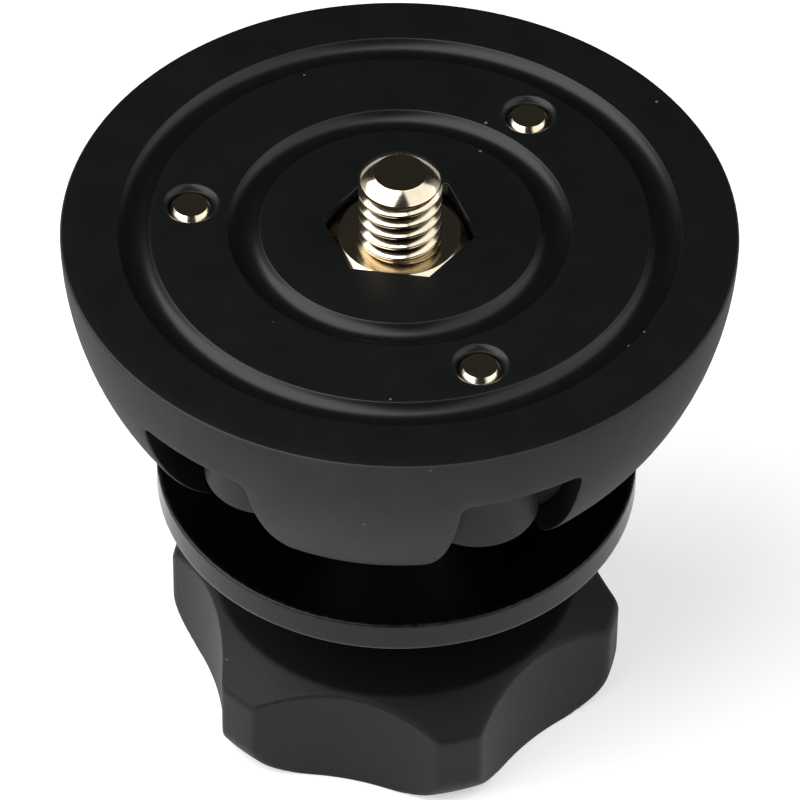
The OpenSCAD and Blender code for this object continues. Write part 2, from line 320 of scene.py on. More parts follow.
oil_and_painted_shade, start, end = effect("oil_and_painted_shade", {"Amount": 1}, ("Dark",))
oil_and_painted_shade.links.new(stretch(oil_and_painted_shade, attribute(oil_and_painted_shade, "edge"), -1, 0.1, start["Amount"], 0), end["Dark"])
print("effects:", worn_edge.name, oil_and_painted_shade.name)

# %% [markdown]
# The casting's flat face was cut smooth on a lathe before it was painted, so a mask picks what lies above a height and
# inside the rim. The windows' walls, the hollow, the recess and the grooves lie in shadow. An attribute marks them,
# and they get a smoother gloss and a near-black colour that is painted shade. Three materials would do, but masks let
# the finishes run into each other.

# %% Turned face and inner gloss with painted shade
FACE_LIMITS = {"Foot": -1.4 * MM, "Top": -1.1 * MM, "Inner Rim": 37.25 * MM, "Outer Rim": 37.4 * MM}

turned_face, start, end = effect("turned_face", FACE_LIMITS, ("Face",))
height = add_node(turned_face, "SeparateXYZ", {0: place_on(turned_face)}).outputs["Z"]
above = stretch(turned_face, height, start["Foot"], start["Top"], 0, 1)
within = stretch(turned_face, axis_distance(turned_face), start["Inner Rim"], start["Outer Rim"], 1, 0)
turned_face.links.new(maths(turned_face, "MULTIPLY", above, within), end["Face"])

# Painted shade: this mask darkens the windows' walls, the hollow, the recess and the grooves, where shadow falls, and
# makes them glossier.
inner_gloss_and_shade, start, end = effect("inner_gloss_and_shade", {"Amount": 1}, ("Inner",))
hidden = maths(inner_gloss_and_shade, "MULTIPLY", attribute(inner_gloss_and_shade, "inside"), start["Amount"], use_clamp=True)
inner_gloss_and_shade.links.new(hidden, end["Inner"])
print("effects:", turned_face.name, inner_gloss_and_shade.name)

# %% [markdown]
# A lathe leaves fine rings on all it cuts. A wave texture would repeat them evenly. Noise along the
# distance from the axis makes them uneven, as a tool that chatters does.

# %% Lathe marks
lathe_marks, start, end = effect("lathe_marks", {"Rings": 9000}, ("Marks",))
along = maths(lathe_marks, "MULTIPLY", axis_distance(lathe_marks), start["Rings"])
rings = add_node(lathe_marks, "TexNoise", {"W": along, "Scale": 1, "Detail": 2}, noise_dimensions="1D")
lathe_marks.links.new(rings.outputs[0], end["Marks"])
print("effects:", lathe_marks.name)

# %% [markdown]
# One function makes every finish, because all have the same layers: a clouded base colour, then wear, the darkening of
# inner corners that is oil and painted shade, and dust, and a tooth or rings that steer the gloss and the bump. A
# layer that isn't asked for is left out.

# %% A maker of finishes
BUMP_DEPTH = 0.05


def use_effect(tree, group, **values):
    """Places a shared effect in a material with its own values."""
    node = tree.nodes.new("ShaderNodeGroup")
    node.node_tree = group
    for socket, value in values.items():
        node.inputs[socket.replace("_", " ").title()].default_value = value
    return node.outputs


def lay_over(tree, tint, group, mask, colour, **values):
    """Lays a colour over a tint where an effect's mask is."""
    return mix_colours(tree, use_effect(tree, group, **values)[mask], tint, (*colour, 1))


def mix_numbers(tree, mask, first, second):
    """Goes from the first number to the second as the mask goes from 0 to 1."""
    return add_node(tree, "Mix", {"Factor": mask, "A": first, "B": second}).outputs[0]


def finish(name, colour, cloudy, clouds, roughness, tooth, bump, worn=None, oil_and_shade=None, dusty=None, rings=None,
           face=None, inner=None, **constants):
    """A finish from the shared effects. Roughness is a range, and clouds and tooth are scales."""
    material = bpy.data.materials.new(name)
    material.use_nodes = True
    tree = material.node_tree
    shader = tree.nodes["Principled BSDF"]
    skin = use_effect(tree, grain, tooth_scale=tooth, cloud_scale=clouds)
    tint = mix_colours(tree, skin["Cloud"], (*colour, 1), (*cloudy, 1))
    texture = skin["Tooth"]
    if rings:
        marks = use_effect(tree, lathe_marks, rings=rings["scale"])["Marks"]
        texture = mix_numbers(tree, rings["share"], texture, marks)
    rough = stretch(tree, texture, *NOISE_SPAN, *roughness)
    if face:
        cut = use_effect(tree, turned_face)["Face"]
        smooth = mix_colours(tree, skin["Cloud"], (*face["colour"], 1), (*face["cloudy"], 1))
        tint = mix_colours(tree, cut, tint, smooth)
        rough = mix_numbers(tree, cut, rough, face["roughness"])
        tree.links.new(stretch(tree, cut, 0, 1, 0, face["coat"]), shader.inputs["Coat Weight"])
    # Painted shade: where the inside mask is, the colour goes near black, and the gloss changes too.
    if inner:
        hidden = use_effect(tree, inner_gloss_and_shade)["Inner"]
        tint = mix_colours(tree, hidden, tint, (*inner["colour"], 1))
        rough = mix_numbers(tree, hidden, rough, inner["roughness"])
    if worn:
        tint = lay_over(tree, tint, worn_edge, "Wear", **worn)
    # Oil and painted shade: inner corners are darkened.
    if oil_and_shade:
        tint = lay_over(tree, tint, oil_and_painted_shade, "Dark", **oil_and_shade)
    if dusty:
        tint = lay_over(tree, tint, dust, "Specks", **dusty)
    dent = add_node(tree, "Bump", {"Height": texture, "Strength": bump, "Distance": BUMP_DEPTH * MM})
    tree.links.new(tint, shader.inputs["Base Color"])
    tree.links.new(rough, shader.inputs["Roughness"])
    tree.links.new(dent.outputs[0], shader.inputs["Normal"])
    for socket, value in constants.items():
        shader.inputs[socket.replace("_", " ")].default_value = value
    return material


print("finish maker ready")

# %% [markdown]
# Black paint on the casting and the disc, and the knob's moulded skin, differ in gloss and in tooth more than in
# colour, apart from the disc's colour, which is set almost to zero as painted shade for its top in the shadow under
# the ball. All are far darker than they look: most of what the eye sees on them is the white table, mirrored weakly.

# %% Black finishes
cast_black = finish(
    "cast_black", (0.024, 0.0262, 0.0262), (0.031, 0.0334, 0.0330), 160, (0.56, 0.70),
    tooth=5200, bump=0.22, worn={"amount": 0.03, "colour": (0.16, 0.17, 0.17)},
    face={"colour": (0.0034, 0.0039, 0.0039), "cloudy": (0.0052, 0.0059, 0.0059), "roughness": 0.36, "coat": 0.35},
    # Painted shade: this near-black inner colour stands for the shadow in the windows, the hollow, the recess and the
    # grooves.
    inner={"colour": (0.0028, 0.0031, 0.0031), "roughness": 0.30},
    dusty={"share": 0.024, "size": 0.13, "colour": (0.10, 0.10, 0.10)},
    Coat_Roughness=0.30, Specular_IOR_Level=0.12)
# Painted shade: the disc's near-zero colour keeps its top black under the ball.
disc_black = finish(
    "disc_black", (0.0004, 0.0005, 0.0005), (0.0007, 0.0008, 0.0008), 140, (0.20, 0.26),
    tooth=4200, bump=0.02, worn={"amount": 0.12, "colour": (0.16, 0.17, 0.17)},
    dusty={"share": 0.008, "colour": (0.06, 0.06, 0.06)},
    rings={"scale": 7000, "share": 0.6}, Specular_IOR_Level=0.22)
knob_black = finish(
    "knob_black", (0.0037, 0.0036, 0.0039), (0.0048, 0.0046, 0.0049), 130, (0.50, 0.60),
    tooth=3600, bump=0.45, worn={"amount": 0.05, "colour": (0.12, 0.12, 0.12)},
    dusty={"colour": (0.06, 0.06, 0.06)}, Specular_IOR_Level=0.26)
print("finishes:", cast_black.name, disc_black.name, knob_black.name)

# %% [markdown]
# The stud and the set screws are nickel plated, with a warm tint, and the roots of their threads are darkened, partly
# as oil and partly as painted shade. Hidden hardware is zinc plated, the insert is brass, and the sleeve is nylon,
# which lets a little light in.

# %% Metals and nylon
nickel = finish(
    "nickel", (0.72, 0.64, 0.50), (0.64, 0.55, 0.41), 500, (0.10, 0.18), tooth=2600, bump=0.06,
    # Oil and painted shade: inner corners such as thread roots go near black.
    oil_and_shade={"colour": (0.020, 0.014, 0.008)}, rings={"scale": 14000, "share": 0.5}, Metallic=1.0)
zinc = finish(
    "zinc", (0.60, 0.60, 0.58), (0.48, 0.48, 0.46), 400, (0.24, 0.38),
    tooth=2600, bump=0.08, rings={"scale": 9000, "share": 0.6}, Metallic=1.0)
brass = finish(
    "brass", (0.68, 0.50, 0.23), (0.55, 0.38, 0.16), 400, (0.20, 0.34),
    tooth=2600, bump=0.08, rings={"scale": 9000, "share": 0.7}, Metallic=1.0)
nylon = finish(
    "nylon", (0.70, 0.67, 0.58), (0.64, 0.60, 0.50), 200, (0.42, 0.52),
    tooth=3000, bump=0.08, rings={"scale": 5000, "share": 0.4}, Subsurface_Weight=0.1)
print("finishes:", nickel.name, zinc.name, brass.name, nylon.name)

# %% [markdown]
# A turned piece starts as an outline of radius and height. A turner breaks every edge, so one helper rounds
# the corners. The last one adds points near the ends of long lines, because edge marks fade from point to
# point and would spread over a whole flat ring.

# %% Helpers for outlines
ROUND_STEPS = 3
HELD_REACH = 0.3
HELD_SHARE = 0.25
CORNER_SHARE = 0.45


def arc(centre, radius, first, last, steps):
    """Points on a circle between two angles in degrees."""
    turns = [radians(first + (last - first) * i / steps) for i in range(steps + 1)]
    return [(centre[0] + radius * cos(a), centre[1] + radius * sin(a)) for a in turns]


def corner_arc(before, here, after, size, steps):
    """Points that round a corner between two lines, as far as the lines leave room."""
    here = Vector(here)
    back, ahead = Vector(before) - here, Vector(after) - here
    half = back.angle(ahead) / 2
    reach = min(size / tan(half), back.length * CORNER_SHARE, ahead.length * CORNER_SHARE)
    first = here + back.normalized() * reach
    middle = here + (back.normalized() + ahead.normalized()).normalized() * reach / cos(half)
    spoke = first - middle
    turn = spoke.angle_signed(here + ahead.normalized() * reach - middle)
    return [tuple(middle + Matrix.Rotation(-turn * k / steps, 2) @ spoke) for k in range(steps + 1)]


def broken(points, size):
    """A closed outline with each corner rounded."""
    corners = zip(points[-1:] + points[:-1], points, points[1:] + points[:1])
    return [point for corner in corners for point in corner_arc(*corner, size, ROUND_STEPS)]


def evenly(first, last, steps):
    """Numbers from the first to the last in equal steps."""
    return [first + (last - first) * i / steps for i in range(steps + 1)]


def between(first, last, steps):
    """The points inside a line, in equal steps, without its ends."""
    return list(zip(evenly(first[0], last[0], steps), evenly(first[1], last[1], steps)))[1:-1]


def held(points):
    """A closed outline with a point near each end of its long lines."""
    result = []
    for first, last in zip(points, points[1:] + points[:1]):
        first, last = Vector(first), Vector(last)
        share = HELD_REACH / max((last - first).length, 1e-6)
        result += [tuple(first)] + [tuple(first.lerp(last, k)) for k in (share, 1 - share) if share < HELD_SHARE]
    return result


print("outline helpers ready")

# %% [markdown]
# A lathe turns the work against a tool, and the spin operator does the same with an outline. A screw
# modifier could too, but an operator leaves a plain mesh that the next cell can go on with.

# %% Helpers for turning
TURNED_STEPS = 96
MERGE = 1e-4
NEAR = 0.01


def spin(outline, steps=TURNED_STEPS, closed=True):
    """Turns an outline of radius and height round the Z axis."""
    bm = bmesh.new()
    points = [bm.verts.new((r, 0, z)) for r, z in outline]
    edges = [bm.edges.new(pair) for pair in zip(points, points[1:] + points[:1] if closed else points[1:])]
    bmesh.ops.spin(bm, geom=points + edges, axis=(0, 0, 1), angle=2 * pi, steps=steps, use_merge=True)
    bmesh.ops.remove_doubles(bm, verts=bm.verts, dist=MERGE)
    return bm


def off_axis(point):
    """Distance of a point from the Z axis."""
    return hypot(point.x, point.y)


def turn_of(point):
    """Angle of a point round the Z axis, in degrees."""
    return degrees(atan2(point.y, point.x))


def polar(radius, turn, z=0):
    """The point at a distance from the Z axis, an angle in degrees and a height."""
    return Vector((radius * cos(radians(turn)), radius * sin(radians(turn)), z))


def hex_radius(flat, turn):
    """Distance from a hexagon's middle to its side, with corners at 0, 60, 120 degrees and so on."""
    return flat / cos(radians(turn % 60 - 30))


print("turning helpers ready")

# %% [markdown]
# The last helper closes a mesh, marks its edges for wear and its inner corners for oil and painted shade, scales it to
# metres and hangs it on its body in the place of a solid. Points are moved instead of objects, so that every object
# stays at the origin and the frame alone moves it.

# %% Helpers for finishing a piece
FULL_BEND = radians(24)
BEND_START = 0.25
FINE_SHARP = 28


def mark_edges(bm):
    """Writes how sharply each point stands out, up to 1, or lies in an inner corner, down to -1."""
    layer = bm.verts.layers.float.new("edge")
    for vert in bm.verts:
        bends = [e.calc_face_angle_signed(0) / FULL_BEND for e in vert.link_edges] or [0]
        outer, inner = max(bends) - BEND_START, -min(bends) - BEND_START
        vert[layer] = min(1, max(0, outer)) - min(1, max(0, inner))


def to_piece(bm, name, material, node, sharp=40):
    """Closes a mesh drawn in millimetres and puts it in the place of a solid."""
    bmesh.ops.remove_doubles(bm, verts=bm.verts, dist=MERGE)
    bmesh.ops.recalc_face_normals(bm, faces=bm.faces)
    mark_edges(bm)
    bmesh.ops.scale(bm, verts=bm.verts, vec=(MM, MM, MM))
    mesh = bpy.data.meshes.new(name)
    open_edges = sum(1 for e in bm.edges if not e.is_manifold)
    bm.to_mesh(mesh)
    bm.free()
    mesh.shade_smooth()
    mesh.set_sharp_from_angle(angle=radians(sharp))
    mesh.materials.append(material)
    piece = bpy.data.objects.new(name, mesh)
    SCENE.collection.objects.link(piece)
    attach(piece, frame["nodes"][node]["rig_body"])
    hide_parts(node)
    print(f"{name}: {len(mesh.polygons)} faces, {open_edges} open edges")


print("piece helpers ready")

# %% [markdown]
# The half ball is one casting: a thick flat plate, a ring of six legs that carry on the ball's surface,
# and six bosses under the plate. Cutting windows with booleans would leave ragged edges that can't be
# rounded. Instead a closed outline is spun, and its grid is moved until the windows are whole faces.

# %% Half ball: sizes and sections
BALL_R = round(span("half_ball")[1].x, 1)
LEG_FOOT = span("half_ball")[0].z
PLATE_FOOT = -7.7
SHELL_T = 3.2
HOLLOW_R = BALL_R - SHELL_T
RIM_R = 0.35
GROOVE_RADII = (17.25, 29.4)
GROOVE_HALF = 1.78
GROOVE_DEPTH = 1.0
LIP_R = 0.2
RECESS_FLAT = 7.5
RECESS_EDGE_R = 0.15
RECESS_FOOT = -5.2
ROD_HOLE_R = 5.15
SCREW_CIRCLE_R = 23.4
WINDOW_HALF = 7.05
WINDOW_CORNER = 1.2


def ball_section(radius, z):
    """Radius of the circle in which a ball is cut at a height."""
    return sqrt(radius * radius - z * z)


def groove(middle):
    """A round-bottomed groove in the flat face, with rounded lips."""
    radius = (GROOVE_HALF ** 2 + GROOVE_DEPTH ** 2) / (2 * GROOVE_DEPTH)
    height = radius - GROOVE_DEPTH
    reach = sqrt((radius + LIP_R) ** 2 - (height + LIP_R) ** 2)
    lean = degrees(acos((height + LIP_R) / (radius + LIP_R)))
    first_lip = arc((middle - reach, -LIP_R), LIP_R, 90, 90 - lean, 4)
    hollow = arc((middle, height), radius, 270 - lean, 270 + lean, 14)[1:-1]
    last_lip = arc((middle + reach, -LIP_R), LIP_R, 90 + lean, 90, 4)
    return first_lip + hollow + last_lip


print("ball of radius", BALL_R, "mm")

# %% [markdown]
# The blank is what a lathe would leave. Its outline goes up the rod's hole, over the recess, the flat face
# and its grooves, round the rim, down the ball and up again inside. Rows lie where windows, bosses and
# screw holes will be, so that later cuts follow whole faces.

# %% Half ball: turned blank
HOLE_ROWS = (19.7, 27.0)
BOSS_ROWS = (15.5, 31.3)
INNER_FLAT_ROWS = (10.6, 12)
OUTER_FLAT_ROWS = (33, 35.5)
UNDER_ROWS = (12, 8.5)
WINDOW_COLUMNS = 6
LEG_COLUMNS = 8
SECTORS = 6
SECTOR_COLUMNS = 2 * (WINDOW_COLUMNS + LEG_COLUMNS)
COLUMNS = SECTORS * SECTOR_COLUMNS


def flat_rows(radii, z=0):
    """Outline points at one height."""
    return [(r, z) for r in radii]


def ball_rows(radius, heights):
    """Outline points on a ball."""
    return [(ball_section(radius, z), z) for z in heights]


corner_rows = [PLATE_FOOT - WINDOW_CORNER * (1 - cos(radians(a))) for a in (0, 45, 90)]
leg_rows = corner_rows + evenly(corner_rows[-1], LEG_FOOT, 11)[1:]
rim_r = sqrt((BALL_R - RIM_R) ** 2 - RIM_R ** 2)
rim = arc((rim_r, -RIM_R), RIM_R, 90, -degrees(asin(RIM_R / (BALL_R - RIM_R))), 5)
outline = [(ROD_HOLE_R, PLATE_FOOT), (ROD_HOLE_R, RECESS_FOOT), (RECESS_FLAT, RECESS_FOOT)]
outline += arc((RECESS_FLAT + RECESS_EDGE_R, -RECESS_EDGE_R), RECESS_EDGE_R, 180, 90, 6)
outline += flat_rows(INNER_FLAT_ROWS) + groove(GROOVE_RADII[0]) + flat_rows(evenly(*HOLE_ROWS, 12))
outline += groove(GROOVE_RADII[1]) + flat_rows(OUTER_FLAT_ROWS) + rim
outline += ball_rows(BALL_R, evenly(rim[-1][1], PLATE_FOOT, 6)[1:-1] + leg_rows)
outline += ball_rows(HOLLOW_R, reversed(leg_rows))
outline += flat_rows(evenly(BOSS_ROWS[1], BOSS_ROWS[0], 4), PLATE_FOOT) + flat_rows(UNDER_ROWS, PLATE_FOOT)
casting = spin(outline, COLUMNS)
print("blank:", len(outline), "rows of", COLUMNS, "columns")

# %% [markdown]
# The windows have upright sides, but the columns of a spun grid draw together towards the foot. Each column
# is turned a little at every height, so that one runs down each window's side and round its top corner. The
# same pass presses the recess into a hexagon.

# %% Half ball: columns along the windows
def window_edge(r, z):
    """Angle from a window's middle to its side, at a point of the blank, in degrees."""
    depth = PLATE_FOOT - z
    half = WINDOW_HALF - WINDOW_CORNER
    if depth <= -NEAR:
        r = ball_section(BALL_R, PLATE_FOOT)
    elif depth < NEAR:
        r = max(r, ball_section(HOLLOW_R, PLATE_FOOT))
    elif depth < WINDOW_CORNER:
        half += sqrt(WINDOW_CORNER ** 2 - (WINDOW_CORNER - depth) ** 2)
    else:
        half = WINDOW_HALF
    return degrees(asin(half / r))


def column_angle(column, edge):
    """Angle of a column, counted from a window's middle, when the window's side is at a given angle."""
    steps = abs(column)
    if steps <= WINDOW_COLUMNS:
        return copysign(edge * steps / WINDOW_COLUMNS, column)
    half_sector = 180 / SECTORS
    return copysign(edge + (half_sector - edge) * (steps - WINDOW_COLUMNS) / LEG_COLUMNS, column)


for vert in casting.verts:
    r = off_axis(vert.co)
    place = round(turn_of(vert.co) / 360 * COLUMNS)
    sector = round(place / SECTOR_COLUMNS)
    turn = sector * 360 / SECTORS + column_angle(place - sector * SECTOR_COLUMNS, window_edge(r, vert.co.z))
    if RECESS_FLAT - NEAR < r < RECESS_FLAT + RECESS_EDGE_R + NEAR and vert.co.z > RECESS_FOOT - NEAR:
        r = hex_radius(r, turn)
    vert.co = polar(r, turn, vert.co.z)
print("columns follow the windows")

# %% [markdown]
# A window goes through the whole shell. Its faces are deleted outside and inside, and the two borders are
# bridged as walls. A small bevel then rounds the sharp edges, as blasting does, and catches a thin line of
# light.

# %% Half ball: windows
EDGE_BREAK = 0.25
SHARP_BEND = radians(35)
LEG_IN_R = 15
SAME_WINDOW = 0.8


def from_window(point):
    """Angle of a point from the middle of the nearest window, in degrees."""
    step = 360 / SECTORS
    turn = turn_of(point)
    return turn - round(turn / step) * step


def on_ball(edge, radius):
    """Whether both ends of an edge lie on a ball of that radius."""
    return all(abs(v.co.length - radius) < NEAR for v in edge.verts)


holes = []
for face in casting.faces:
    middle = face.calc_center_median()
    below = min(v.co.z for v in face.verts) <= PLATE_FOOT - NEAR
    if below and abs(from_window(middle)) < window_edge(off_axis(middle), middle.z):
        holes.append(face)
bmesh.ops.delete(casting, geom=holes, context="FACES")
for window in range(SECTORS):
    ahead = polar(1, window * 360 / SECTORS).xy
    borders = [e for e in casting.edges if e.is_boundary
               and (e.verts[0].co + e.verts[1].co).xy.normalized() @ ahead > SAME_WINDOW]
    outer = [e for e in borders if on_ball(e, BALL_R)]
    inner = [e for e in borders if on_ball(e, HOLLOW_R)]
    bmesh.ops.bridge_loops(casting, edges=outer + inner)
bmesh.ops.recalc_face_normals(casting, faces=casting.faces)
sharp_edges = [e for e in casting.edges if max(v.co.z for v in e.verts) < PLATE_FOOT + NEAR
               and off_axis(e.verts[0].co) > LEG_IN_R and e.calc_face_angle(0) > SHARP_BEND]
bmesh.ops.bevel(casting, geom=sharp_edges, offset=EDGE_BREAK, offset_type="OFFSET", affect="EDGES",
                segments=3, profile=0.5, material=-1, clamp_overlap=False)
print("six windows,", len(sharp_edges), "edges rounded")

# %% [markdown]
# The bosses and screw holes start as patches of the grid. A patch is deleted, its border is pulled onto a
# circle, and the circle is pulled on, ring by ring, as the mouth, the bore or the boss. Pulled rings keep
# the mesh closed, which a boolean often does not.

# %% Half ball: helpers for bosses and holes
BOSS_R = 6.9
BOSS_FILLET = 0.4
FILLET_TURNS = (0, pi / 4, pi / 2)


def open_patch(bm, turn, rows, limit, height):
    """Deletes the faces round a hole's middle and gives the edges of the gap."""
    def inside(face):
        middle = face.calc_center_median()
        off = (turn_of(middle) - turn + 180) % 360 - 180
        return abs(middle.z - height) < NEAR and rows[0] < off_axis(middle) < rows[1] and abs(off) < limit
    faces = [f for f in bm.faces if inside(f)]
    gap = [e for f in faces for e in f.edges if sum(g in faces for g in e.link_faces) == 1]
    bmesh.ops.delete(bm, geom=faces, context="FACES")
    return gap


def pull_rings(bm, edges, turn, rings):
    """Pulls a border through circles of a given radius and height round a screw's axis."""
    middle = polar(SCREW_CIRCLE_R, turn)
    for radius, z in rings:
        pulled = bmesh.ops.extrude_edge_only(bm, edges=edges)["geom"]
        points = {g for g in pulled if isinstance(g, bmesh.types.BMVert)}
        for vert in points:
            spoke = (vert.co - middle).xy.normalized() * radius
            vert.co = (middle.x + spoke.x, middle.y + spoke.y, z)
        edges = [g for g in pulled if isinstance(g, bmesh.types.BMEdge) and all(v in points for v in g.verts)]
    return edges


def boss_rings(foot):
    """The circles of a boss, from its fillet under the plate to its rounded end."""
    fillet = [(BOSS_R + BOSS_FILLET * (1 - sin(a)), PLATE_FOOT - BOSS_FILLET * (1 - cos(a))) for a in FILLET_TURNS]
    end = [(BOSS_R - BOSS_FILLET * (1 - cos(a)), foot + BOSS_FILLET * (1 - sin(a))) for a in FILLET_TURNS]
    return fillet + end


print("boss helpers ready")

# %% [markdown]
# Every second boss is drilled and tapped for a set screw, and the three between are plain and shorter. A hole
# is pulled down from the flat face and its boss from under the plate, and they are bridged where they meet.

# %% Half ball: bosses and screw holes
SCREW_TURNS = (60, 180, 300)
SCREW_BOSS_FOOT = -21.5
PLAIN_BOSS_FOOT = -20.0
BOSS_COLUMNS = 10
BORE_R = 2.55
MOUTH_BREAK = 0.55
MOUTH_R = BORE_R + MOUTH_BREAK

mouth = [(MOUTH_R + 0.25, 0), (MOUTH_R + 0.1, 0), (MOUTH_R - 0.02, -0.06), (BORE_R + 0.06, -MOUTH_BREAK)]
mouth += [(BORE_R, -MOUTH_BREAK - 0.2), (BORE_R, SCREW_BOSS_FOOT + 0.3)]
hole_limit = window_edge(SCREW_CIRCLE_R, 0)
boss_limit = column_angle(BOSS_COLUMNS, window_edge(SCREW_CIRCLE_R, PLATE_FOOT))
for turn in SCREW_TURNS:
    gap = open_patch(casting, turn, HOLE_ROWS, hole_limit, 0)
    bore = pull_rings(casting, gap, turn, mouth)
    gap = open_patch(casting, turn, BOSS_ROWS, boss_limit, PLATE_FOOT)
    boss = pull_rings(casting, gap, turn, boss_rings(SCREW_BOSS_FOOT) + [(BORE_R + 0.3, SCREW_BOSS_FOOT)])
    bmesh.ops.bridge_loops(casting, edges=bore + boss)
    plain = turn - 360 / SECTORS
    gap = open_patch(casting, plain, BOSS_ROWS, boss_limit, PLATE_FOOT)
    boss = pull_rings(casting, gap, plain, boss_rings(PLAIN_BOSS_FOOT) + [(BOSS_R / 2, PLAIN_BOSS_FOOT)])
    bmesh.ops.edgeloop_fill(casting, edges=boss)
print("bosses:", 2 * len(SCREW_TURNS))

# %% [markdown]
# The windows' walls, the hollow, the recess and the grooves are made smoother than the ball's outside, and blacker
# with painted shade, because they lie in shadow. An attribute tells the inner gloss and shade effect where they are.
# It is written last, when all the points exist.

# %% Half ball: mark of the inside
SKIN = 0.1


def lies_inside(point):
    """Whether a point of the casting is in the hollow, a window's wall, the recess or a groove."""
    r = off_axis(point)
    boss = polar(SCREW_CIRCLE_R, round(turn_of(point) / 60) * 60)
    in_hollow = point.length < BALL_R - SKIN and point.z < PLATE_FOOT + NEAR
    in_recess = r < hex_radius(RECESS_FLAT, 0) + SKIN and point.z < NEAR - RECESS_EDGE_R
    in_groove = -2 * GROOVE_DEPTH < point.z < -SKIN and any(abs(r - g) < GROOVE_HALF for g in GROOVE_RADII)
    return in_hollow and off_axis(point - boss) > BOSS_R + SKIN or in_recess or in_groove


# Painted shade: the attribute marks the points that are darkened as shaded inside.
layer = casting.verts.layers.float.new("inside")
for vert in casting.verts:
    vert[layer] = float(lies_inside(vert.co))
to_piece(casting, "half_ball_casting", cast_black, "half_ball")

# %% [markdown]
# A thread is one zigzag outline spun with a rise of one pitch each turn. Its seam then meets itself one
# turn up, and merging the doubles closes it. A bump texture would be lighter, but the teeth show in the
# outline.

# %% Threads
TOOTH = ((0.0, 0), (0.12, 0), (0.40, 0.93), (0.46, 1), (0.54, 1), (0.60, 0.93), (0.88, 0))


def add_mesh(bm, part):
    """Adds one mesh to another."""
    holder = bpy.data.meshes.new("holder")
    part.to_mesh(holder)
    part.free()
    bm.from_mesh(holder)
    bpy.data.meshes.remove(holder)


def threaded(bm, crest_r, root_r, pitch, low, high, start_turn, steps, run_out=0.0):
    """Adds a right-handed thread between two heights, with flat ends. The crest passes zero height at
    start_turn degrees, and the grooves fade out over the run-out below the top."""
    first = ceil((low - 0.5) / pitch) - 3
    last = ceil(high / pitch) + 2
    shift = -(0.5 + start_turn / 360) * pitch
    part = bmesh.new()
    points = [part.verts.new((root_r + (crest_r - root_r) * out, 0, (turn + share) * pitch + shift))
              for turn in range(first, last) for share, out in TOOTH]
    edges = [part.edges.new(pair) for pair in zip(points, points[1:])]
    bmesh.ops.spin(part, geom=points + edges, axis=(0, 0, 1), dvec=(0, 0, pitch / steps), angle=2 * pi, steps=steps)
    bmesh.ops.remove_doubles(part, verts=part.verts, dist=MERGE)
    for vert in part.verts:
        r = off_axis(vert.co)
        fade = min(1, max(0, (high - vert.co.z) / run_out)) if run_out else 1
        vert.co.xy *= (crest_r - (crest_r - r) * fade) / r
    for height, outwards in ((low, -1), (high, 1)):
        everything = part.verts[:] + part.edges[:] + part.faces[:]
        cut = bmesh.ops.bisect_plane(part, geom=everything, dist=1e-5, plane_co=(0, 0, height),
                                     plane_no=(0, 0, outwards), clear_outer=True)["geom_cut"]
        bmesh.ops.edgeloop_fill(part, edges=[g for g in cut if isinstance(g, bmesh.types.BMEdge)])
    bmesh.ops.recalc_face_normals(part, faces=part.faces)
    add_mesh(bm, part)


print("thread helpers ready")

# %% [markdown]
# Nuts and hex collars are turned from hex bar, and the tool leaves a cone on the corners. Here a round
# outline is spun, and its outer points are pressed onto a hexagon and down the cone. A key socket is
# pressed the same way.

# %% Hexagons
PRESSED = 0.02
CONE_SLOPE = tan(radians(30))
CONE_REACH = 0.3


def turned_hex(outline, flat, face_r, cone_top, cone_foot):
    """Spins an outline, then presses the points outside the flats onto a hexagon. The corners keep the
    cone that a turner leaves round the face at the top, and at the foot if one is given."""
    bm = spin(outline)
    for vert in bm.verts:
        r = off_axis(vert.co)
        if r < flat + PRESSED / 2:
            continue
        corner = hex_radius(flat, turn_of(vert.co))
        vert.co.xy *= corner / r
        if abs(vert.co.z - cone_top) < CONE_REACH:
            vert.co.z = cone_top - (corner - face_r) * CONE_SLOPE
        if cone_foot is not None and abs(vert.co.z - cone_foot) < CONE_REACH:
            vert.co.z = cone_foot + (corner - face_r) * CONE_SLOPE
    return bm


def press_socket(bm, flat):
    """Presses a round socket into a hexagon for a key."""
    for vert in bm.verts:
        r = off_axis(vert.co)
        if abs(r - flat) < NEAR:
            vert.co.xy *= hex_radius(flat, turn_of(vert.co)) / r


print("hexagon helpers ready")

# %% [markdown]
# The centre stud carries the camera head on a 3/8 inch thread of 16 turns to the inch, stands in the plate
# with a hex collar and goes on below as an M10 rod. Its parts are closed meshes that reach a little into
# each other, because one skin would need matched rings, and the joins don't show.

# %% Centre stud
STUD_R = 4.62
STUD_ROOT_R = 3.78
STUD_PITCH = 25.4 / 16
STUD_TOP = span("centre_stud")[1].z
STUD_FLAT_R = 2.95
STUD_END = 1.12
END_SLOPES = (29, 46)
THREAD_TOP = STUD_TOP - STUD_END
THREAD_TURN = 105
RUN_OUT = 0.5
SUNK = 0.3
COLLAR_TOP = -1.1
COLLAR_FLAT = 7.15
COLLAR_FACE_R = 6.75
COLLAR_CORE_R = 2.0
ROD_R = 5.0
ROD_ROOT_R = 4.1
ROD_PITCH = 1.5
ROD_STEPS = 72
ROD_FOOT = span("centre_stud")[0].z

